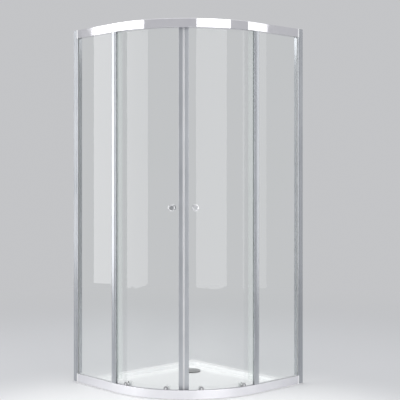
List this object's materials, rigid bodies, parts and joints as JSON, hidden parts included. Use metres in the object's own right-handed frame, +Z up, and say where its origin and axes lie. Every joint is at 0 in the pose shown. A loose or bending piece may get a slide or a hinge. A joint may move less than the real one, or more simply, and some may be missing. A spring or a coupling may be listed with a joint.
{
  "type": "quadrant shower enclosure",
  "caption": "Corner shower enclosure with a curved front: flat fixed side panels, curved sliding glass doors in chrome rails, and a low quadrant tray.",
  "frame": {"origin": "on the underside of the tray, under the middle of the 900 mm square that the enclosure fits", "axes": "+Z up; the left wall is at -X, the other wall at +Y, and the doors face between +X and -Y"},
  "size_m": [0.9, 0.9, 1.99],
  "materials": {
    "tray": "glossy white moulded acrylic",
    "chrome": "mirror polished chrome",
    "knob_chrome": "mirror polished chrome",
    "aluminium": "bright silver anodised",
    "steel": "stainless steel",
    "spring_steel": "spring wire",
    "glass": "clear toughened, flat",
    "door_glass": "clear toughened, curved",
    "clear_pvc": "clear soft strip",
    "magnet": "white magnetic strip",
    "gasket": "soft grey glazing strip",
    "grey_plastic": "moulded, light grey",
    "nylon": "grey nylon",
    "rubber": "black rubber"
  },
  "bodies": {
    "root": {"shower_tray": "tray", "waste_flange": "chrome", "waste_gasket": "gasket", "bottom_rail": "chrome", "top_rail": "chrome", "rail_connectors": "grey_plastic", "frame_screws": "steel", "screw_caps": "grey_plastic", "glazing_gaskets": "gasket", "stile_seals": "clear_pvc", "door_stops": "rubber", "wall_channel_left": "aluminium", "side_profile_left": "aluminium", "fixed_glass_left": "glass", "fixed_stile_left": "aluminium", "wall_channel_right": "aluminium", "side_profile_right": "aluminium", "fixed_glass_right": "glass", "fixed_stile_right": "aluminium"},
    "waste_cover": {"waste_cover": "chrome"},
    "top_wheel_lead_left": {"top_wheel_lead_left": "nylon"},
    "bottom_wheel_lead_left": {"bottom_wheel_lead_left": "nylon"},
    "release_lead_left": {"release_slider_lead_left": "grey_plastic"},
    "top_wheel_tail_left": {"top_wheel_tail_left": "nylon"},
    "bottom_wheel_tail_left": {"bottom_wheel_tail_left": "nylon"},
    "release_tail_left": {"release_slider_tail_left": "grey_plastic"},
    "door_left": {"door_glass_left": "door_glass", "door_edge_profile_left": "aluminium", "magnet_strip_left": "magnet", "door_tail_seal_left": "clear_pvc", "door_bottom_seal_left": "clear_pvc", "knob_outer_left": "knob_chrome", "knob_inner_left": "knob_chrome", "glass_washers_left": "gasket", "top_roller_studs_left": "steel", "top_roller_caps_left": "knob_chrome", "release_brackets_left": "grey_plastic", "bracket_screws_left": "steel", "release_spring_lead_left": "spring_steel", "release_spring_tail_left": "spring_steel"},
    "top_wheel_lead_right": {"top_wheel_lead_right": "nylon"},
    "bottom_wheel_lead_right": {"bottom_wheel_lead_right": "nylon"},
    "release_lead_right": {"release_slider_lead_right": "grey_plastic"},
    "top_wheel_tail_right": {"top_wheel_tail_right": "nylon"},
    "bottom_wheel_tail_right": {"bottom_wheel_tail_right": "nylon"},
    "release_tail_right": {"release_slider_tail_right": "grey_plastic"},
    "door_right": {"door_glass_right": "door_glass", "door_edge_profile_right": "aluminium", "magnet_strip_right": "magnet", "door_tail_seal_right": "clear_pvc", "door_bottom_seal_right": "clear_pvc", "knob_outer_right": "knob_chrome", "knob_inner_right": "knob_chrome", "glass_washers_right": "gasket", "top_roller_studs_right": "steel", "top_roller_caps_right": "knob_chrome", "release_brackets_right": "grey_plastic", "bracket_screws_right": "steel", "release_spring_lead_right": "spring_steel", "release_spring_tail_right": "spring_steel"}
  },
  "joints": [
    {"name": "waste_cover_lift", "type": "slide", "parent": "root", "child": "waste_cover", "axis": [0, 0, 1], "range_m": [0, 0.06]},
    {"name": "door_left_travel", "type": "hinge", "parent": "root", "child": "door_left", "pos_m": [-0.1307, 0.2188, 1.9592], "axis": [0, 0, -1], "range_deg": [0, 19.8]},
    {"name": "release_lead_left_lift", "type": "slide", "parent": "door_left", "child": "release_lead_left", "axis": [0, 0, 1], "range_m": [0, 0.007], "stiffness_N_per_m": 400, "springref_m": -0.004, "deforming": ["release_spring_lead_left"]},
    {"name": "top_wheel_lead_left_spin", "type": "hinge", "parent": "door_left", "child": "top_wheel_lead_left", "pos_m": [0.20361, -0.33402, 1.9592], "axis": [0.5693, -0.8221, 0], "range_deg": [-20, 1100]},
    {"name": "bottom_wheel_lead_left_spin", "type": "hinge", "parent": "release_lead_left", "child": "bottom_wheel_lead_left", "pos_m": [0.20361, -0.33402, 0.0872], "axis": [0.5693, -0.8221, 0], "range_deg": [-20, 1100]},
    {"name": "release_tail_left_lift", "type": "slide", "parent": "door_left", "child": "release_tail_left", "axis": [0, 0, 1], "range_m": [0, 0.007], "stiffness_N_per_m": 400, "springref_m": -0.004, "deforming": ["release_spring_tail_left"]},
    {"name": "top_wheel_tail_left_spin", "type": "hinge", "parent": "door_left", "child": "top_wheel_tail_left", "pos_m": [-0.01822, -0.42073, 1.9592], "axis": [0.1392, -0.9903, 0], "range_deg": [-20, 1100]},
    {"name": "bottom_wheel_tail_left_spin", "type": "hinge", "parent": "release_tail_left", "child": "bottom_wheel_tail_left", "pos_m": [-0.01822, -0.42073, 0.0872], "axis": [0.1392, -0.9903, 0], "range_deg": [-20, 1100]},
    {"name": "door_right_travel", "type": "hinge", "parent": "root", "child": "door_right", "pos_m": [-0.2188, 0.1307, 1.9592], "axis": [0, 0, 1], "range_deg": [0, 19.8]},
    {"name": "release_lead_right_lift", "type": "slide", "parent": "door_right", "child": "release_lead_right", "axis": [0, 0, 1], "range_m": [0, 0.007], "stiffness_N_per_m": 400, "springref_m": -0.004, "deforming": ["release_spring_lead_right"]},
    {"name": "top_wheel_lead_right_spin", "type": "hinge", "parent": "door_right", "child": "top_wheel_lead_right", "pos_m": [0.33402, -0.20361, 1.9592], "axis": [-0.8221, 0.5693, 0], "range_deg": [-20, 1100]},
    {"name": "bottom_wheel_lead_right_spin", "type": "hinge", "parent": "release_lead_right", "child": "bottom_wheel_lead_right", "pos_m": [0.33402, -0.20361, 0.0872], "axis": [-0.8221, 0.5693, 0], "range_deg": [-20, 1100]},
    {"name": "release_tail_right_lift", "type": "slide", "parent": "door_right", "child": "release_tail_right", "axis": [0, 0, 1], "range_m": [0, 0.007], "stiffness_N_per_m": 400, "springref_m": -0.004, "deforming": ["release_spring_tail_right"]},
    {"name": "top_wheel_tail_right_spin", "type": "hinge", "parent": "door_right", "child": "top_wheel_tail_right", "pos_m": [0.42073, 0.01822, 1.9592], "axis": [-0.9903, 0.1392, 0], "range_deg": [-20, 1100]},
    {"name": "bottom_wheel_tail_right_spin", "type": "hinge", "parent": "release_tail_right", "child": "bottom_wheel_tail_right", "pos_m": [0.42073, 0.01822, 0.0872], "axis": [-0.9903, 0.1392, 0], "range_deg": [-20, 1100]}
  ],
  "couplings": [
    {"joint": "top_wheel_lead_left_spin", "follows": "door_left_travel", "ratio": 53.837},
    {"joint": "bottom_wheel_lead_left_spin", "follows": "door_left_travel", "ratio": 53.837},
    {"joint": "top_wheel_tail_left_spin", "follows": "door_left_travel", "ratio": 54.112},
    {"joint": "bottom_wheel_tail_left_spin", "follows": "door_left_travel", "ratio": 54.112},
    {"joint": "top_wheel_lead_right_spin", "follows": "door_right_travel", "ratio": 53.837},
    {"joint": "bottom_wheel_lead_right_spin", "follows": "door_right_travel", "ratio": 53.837},
    {"joint": "top_wheel_tail_right_spin", "follows": "door_right_travel", "ratio": 54.112},
    {"joint": "bottom_wheel_tail_right_spin", "follows": "door_right_travel", "ratio": 54.112}
  ]
}
